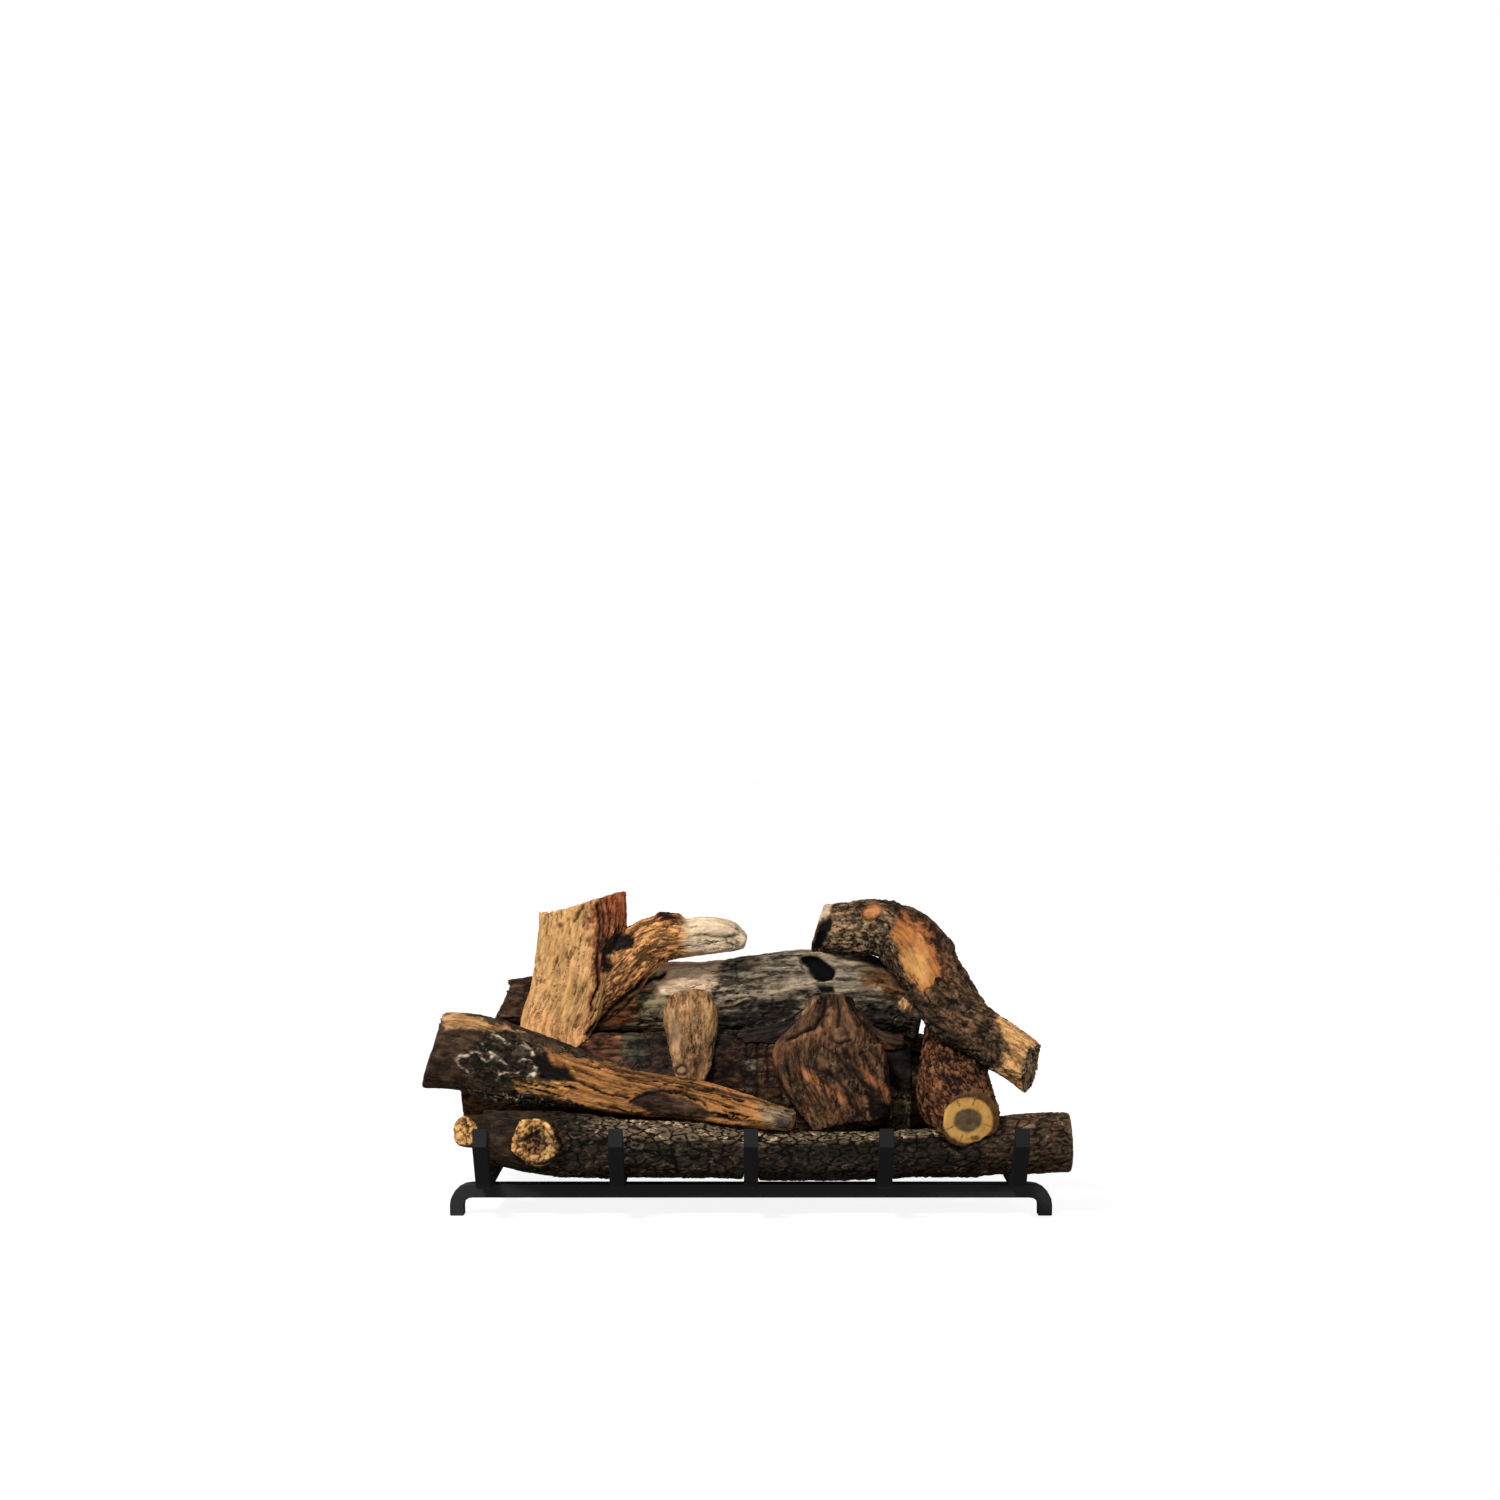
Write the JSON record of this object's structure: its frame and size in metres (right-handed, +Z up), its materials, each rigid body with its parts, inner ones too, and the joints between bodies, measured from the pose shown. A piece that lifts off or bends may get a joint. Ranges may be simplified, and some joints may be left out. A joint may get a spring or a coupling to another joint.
{
  "type": "gas log set",
  "caption": "Vented gas log set: cast refractory logs stacked on a square-bar grate over a pan-less tube burner with pilot and safety valve",
  "frame": {"origin": "On the hearth, under the middle of the set's bounding box", "axes": "+X to the right as seen from the front, +Y to the back, +Z up"},
  "size_m": [0.6442, 0.3438, 0.3139],
  "materials": {
    "grate_black": "matt black heat-resistant paint on square steel bar",
    "front_bark": "cast refractory, painted as dark cracked bark",
    "middle_char": "cast refractory, painted as charred wood",
    "base_bark": "cast refractory, painted dark brown",
    "rear_char": "cast refractory, painted as grey charred bark",
    "split_wood": "cast refractory, painted as bark and split wood",
    "forked_wood": "cast refractory, painted as bare tan wood",
    "root_bark": "cast refractory, painted as a dark fluted stump",
    "chip_wood": "cast refractory, painted as a tan slab",
    "short_bark": "cast refractory, rough bark with a sawn end",
    "upper_bark": "cast refractory, bark with bare patches",
    "burner_steel": "plain steel, dulled by heat",
    "brass": "plain brass",
    "screw_zinc": "zinc-plated steel",
    "valve_cast": "die-cast aluminium",
    "knob_black": "black heat-resistant plastic",
    "copper": "copper"
  },
  "bodies": {
    "set": {"front_log": "front_bark", "middle_log": "middle_char", "rear_base_log": "base_bark", "rear_log": "rear_char", "burner_tube": "burner_steel", "burner_end_cap": "burner_steel", "burner_bracket_left": "burner_steel", "burner_bracket_right": "burner_steel", "bracket_screw_1": "screw_zinc", "bracket_screw_2": "screw_zinc", "valve_screw_1": "screw_zinc", "valve_screw_2": "screw_zinc", "orifice_fitting": "brass", "supply_tube": "brass", "gas_inlet_fitting": "brass", "pilot_tube": "brass", "valve_body": "valve_cast", "valve_bracket": "burner_steel", "pilot_bracket": "burner_steel", "pilot_hood": "burner_steel", "thermocouple": "copper", "thermocouple_lead": "copper", "grate_front_rail": "grate_black", "grate_rear_rail": "grate_black", "grate_rear_leg_left": "grate_black", "grate_rear_leg_right": "grate_black", "grate_bar_1": "grate_black", "grate_bar_2": "grate_black", "grate_bar_3": "grate_black", "grate_bar_4": "grate_black", "grate_bar_5": "grate_black"},
    "shutter": {"air_shutter": "burner_steel"},
    "spindle": {"valve_spindle": "burner_steel"},
    "knob": {"control_knob": "knob_black"},
    "split": {"left_split_log": "split_wood"},
    "chip": {"wood_chip": "chip_wood"},
    "forked": {"forked_log": "forked_wood"},
    "root_stump": {"root_log": "root_bark"},
    "short": {"short_round_log": "short_bark"},
    "upper": {"upper_right_log": "upper_bark"}
  },
  "joints": [
    {"name": "shutter_turn", "type": "hinge", "parent": "set", "child": "shutter", "pos_m": [0.158, -0.059, 0.0608], "axis": [1, 0, 0], "range_deg": [0, 60]},
    {"name": "valve_turn", "type": "hinge", "parent": "set", "child": "spindle", "pos_m": [0.25, 0.04, 0.0626], "axis": [1, 0, 0], "range_deg": [0, 180]},
    {"name": "knob_press", "type": "slide", "parent": "spindle", "child": "knob", "axis": [-1, 0, 0], "range_m": [0, 0.004], "stiffness_N_per_m": 400, "springref_m": -0.005},
    {"name": "split_lift", "type": "slide", "parent": "set", "child": "split", "axis": [0, -0.208, 0.9781], "range_m": [0, 0.25]},
    {"name": "chip_lift", "type": "slide", "parent": "split", "child": "chip", "axis": [0, -0.5, 0.866], "range_m": [0, 0.2]},
    {"name": "forked_lift", "type": "slide", "parent": "set", "child": "forked", "axis": [0, 0, 1], "range_m": [0, 0.25]},
    {"name": "root_lift", "type": "slide", "parent": "set", "child": "root_stump", "axis": [0, -0.7659, 0.6429], "range_m": [0, 0.2]},
    {"name": "short_lift", "type": "slide", "parent": "set", "child": "short", "axis": [0, 0, 1], "range_m": [0, 0.25]},
    {"name": "upper_lift", "type": "slide", "parent": "short", "child": "upper", "axis": [0, 0, 1], "range_m": [0, 0.25]}
  ]
}
